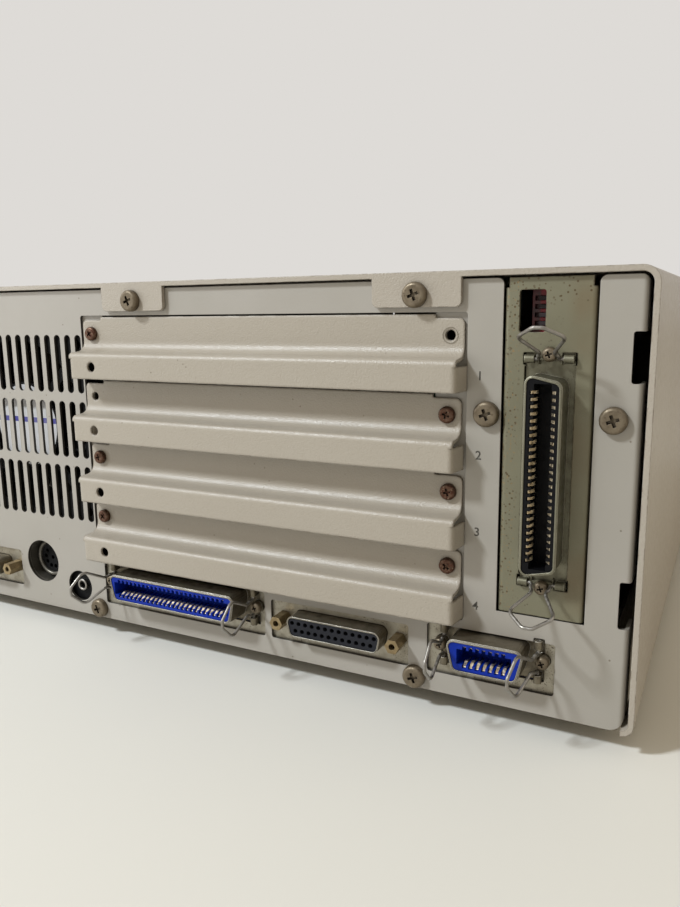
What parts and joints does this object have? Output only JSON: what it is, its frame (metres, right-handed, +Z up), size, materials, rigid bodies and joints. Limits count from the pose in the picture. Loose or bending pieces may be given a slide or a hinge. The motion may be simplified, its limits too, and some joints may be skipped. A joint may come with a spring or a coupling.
{
  "type": "desktop home computer",
  "caption": "Desktop home computer case with horizontal expansion slots, rear ports with wire bails, a fan grille and front disk drives.",
  "frame": {"origin": "middle of the bounding box at the underside of the rubber feet, with the bails as they rest", "axes": "+X to the right seen from the front, +Y from the front bezel to the rear panel, +Z up"},
  "size_m": [0.38, 0.357, 0.15],
  "materials": {
    "cover_paint": "textured",
    "panel_paint": "satin",
    "chassis_steel": "matte",
    "bracket_paint": "matte, speckled",
    "bezel_plastic": "textured",
    "shell_nickel": "satin",
    "insert_blue": "gloss",
    "insert_black": "satin",
    "contact_gold": "polished",
    "bail_steel": "satin",
    "brass": "satin",
    "screw_nickel": "satin",
    "screw_bronze": "satin",
    "rubber": "matte",
    "board_green": "gloss",
    "black_plastic": "satin",
    "switch_red": "gloss",
    "switch_white": "matte",
    "lamp_lens": "gloss",
    "drive_plastic": "textured",
    "lever_plastic": "satin"
  },
  "bodies": {
    "computer": {"chassis_pan": "chassis_steel", "rear_panel": "panel_paint", "top_cover": "cover_paint", "front_bezel": "bezel_plastic", "rubber_feet": "rubber", "cover_screws": "screw_nickel", "panel_screws": "screw_nickel", "slot_cover_1": "cover_paint", "slot_cover_2": "cover_paint", "slot_cover_3": "cover_paint", "slot_cover_4": "cover_paint", "slot_screws": "screw_bronze", "card_frame": "panel_paint", "slot_backplane": "board_green", "disk_bracket": "bracket_paint", "disk_card": "board_green", "disk_port_shell": "shell_nickel", "disk_port_insert": "insert_black", "switch_body": "switch_red", "port_shield": "chassis_steel", "floppy_port_shell": "shell_nickel", "floppy_port_insert": "insert_blue", "printer_port_shell": "shell_nickel", "printer_port_insert": "insert_blue", "port_contacts": "contact_gold", "port_screws": "screw_nickel", "serial_port_shell": "shell_nickel", "serial_port_insert": "insert_black", "monitor_port_shell": "shell_nickel", "monitor_port_insert": "insert_black", "jackposts": "brass", "video_socket_cup": "shell_nickel", "video_socket_insert": "insert_black", "sound_jack": "black_plastic", "power_supply": "chassis_steel", "mains_inlet": "black_plastic", "service_outlet": "black_plastic", "fan_frame": "black_plastic", "mainboard": "board_green", "drive_cage": "chassis_steel", "disk_drive_upper": "drive_plastic", "disk_drive_lower": "drive_plastic", "keyboard_socket": "black_plastic", "status_lamps": "lamp_lens", "speaker": "black_plastic"},
    "disk_bail_upper": {"disk_bail_upper": "bail_steel"},
    "disk_bail_lower": {"disk_bail_lower": "bail_steel"},
    "floppy_bail_right": {"floppy_bail_right": "bail_steel"},
    "floppy_bail_left": {"floppy_bail_left": "bail_steel"},
    "printer_bail_right": {"printer_bail_right": "bail_steel"},
    "printer_bail_left": {"printer_bail_left": "bail_steel"},
    "switch_slider_1": {"switch_slider_1": "switch_white"},
    "switch_slider_2": {"switch_slider_2": "switch_white"},
    "switch_slider_3": {"switch_slider_3": "switch_white"},
    "switch_slider_4": {"switch_slider_4": "switch_white"},
    "fan_rotor": {"fan_rotor": "black_plastic"},
    "drive_lever_lower": {"drive_lever_lower": "lever_plastic"},
    "drive_lever_upper": {"drive_lever_upper": "lever_plastic"},
    "power_button": {"power_button": "bezel_plastic"},
    "reset_button": {"reset_button": "lever_plastic"}
  },
  "joints": [
    {"name": "disk_bail_upper_hinge", "type": "hinge", "parent": "computer", "child": "disk_bail_upper", "pos_m": [-0.1601, 0.15843, 0.12331], "axis": [-1, 0, 0], "range_deg": [-52, 48]},
    {"name": "disk_bail_lower_hinge", "type": "hinge", "parent": "computer", "child": "disk_bail_lower", "pos_m": [-0.1601, 0.15843, 0.05269], "axis": [1, 0, 0], "range_deg": [-58, 42]},
    {"name": "floppy_bail_right_hinge", "type": "hinge", "parent": "computer", "child": "floppy_bail_right", "pos_m": [0.01981, 0.15843, 0.0262], "axis": [0, 0, 1], "range_deg": [-62, 38]},
    {"name": "floppy_bail_left_hinge", "type": "hinge", "parent": "computer", "child": "floppy_bail_left", "pos_m": [-0.05081, 0.15843, 0.0262], "axis": [0, 0, -1], "range_deg": [-62, 16]},
    {"name": "printer_bail_right_hinge", "type": "hinge", "parent": "computer", "child": "printer_bail_right", "pos_m": [-0.12822, 0.15843, 0.0262], "axis": [0, 0, 1], "range_deg": [-61, 17]},
    {"name": "printer_bail_left_hinge", "type": "hinge", "parent": "computer", "child": "printer_bail_left", "pos_m": [-0.15998, 0.15843, 0.0262], "axis": [0, 0, -1], "range_deg": [-97, 3]},
    {"name": "switch_1_slide", "type": "slide", "parent": "computer", "child": "switch_slider_1", "axis": [1, 0, 0], "range_m": [0, 0.0012]},
    {"name": "switch_2_slide", "type": "slide", "parent": "computer", "child": "switch_slider_2", "axis": [1, 0, 0], "range_m": [0, 0.0012]},
    {"name": "switch_3_slide", "type": "slide", "parent": "computer", "child": "switch_slider_3", "axis": [1, 0, 0], "range_m": [0, 0.0012]},
    {"name": "switch_4_slide", "type": "slide", "parent": "computer", "child": "switch_slider_4", "axis": [1, 0, 0], "range_m": [0, 0.0012]},
    {"name": "fan_spin", "type": "hinge", "parent": "computer", "child": "fan_rotor", "pos_m": [0.0695, 0.14253, 0.0899], "axis": [0, 1, 0], "continuous": true},
    {"name": "drive_lever_lower_turn", "type": "hinge", "parent": "computer", "child": "drive_lever_lower", "pos_m": [0.142, -0.16947, 0.082], "axis": [0, 1, 0], "range_deg": [0, 90]},
    {"name": "drive_lever_upper_turn", "type": "hinge", "parent": "computer", "child": "drive_lever_upper", "pos_m": [0.142, -0.16947, 0.124], "axis": [0, 1, 0], "range_deg": [0, 90]},
    {"name": "power_button_push", "type": "slide", "parent": "computer", "child": "power_button", "axis": [0, 1, 0], "range_m": [0, 0.004], "stiffness_N_per_m": 300},
    {"name": "reset_button_push", "type": "slide", "parent": "computer", "child": "reset_button", "axis": [0, 1, 0], "range_m": [0, 0.0015], "stiffness_N_per_m": 400}
  ]
}
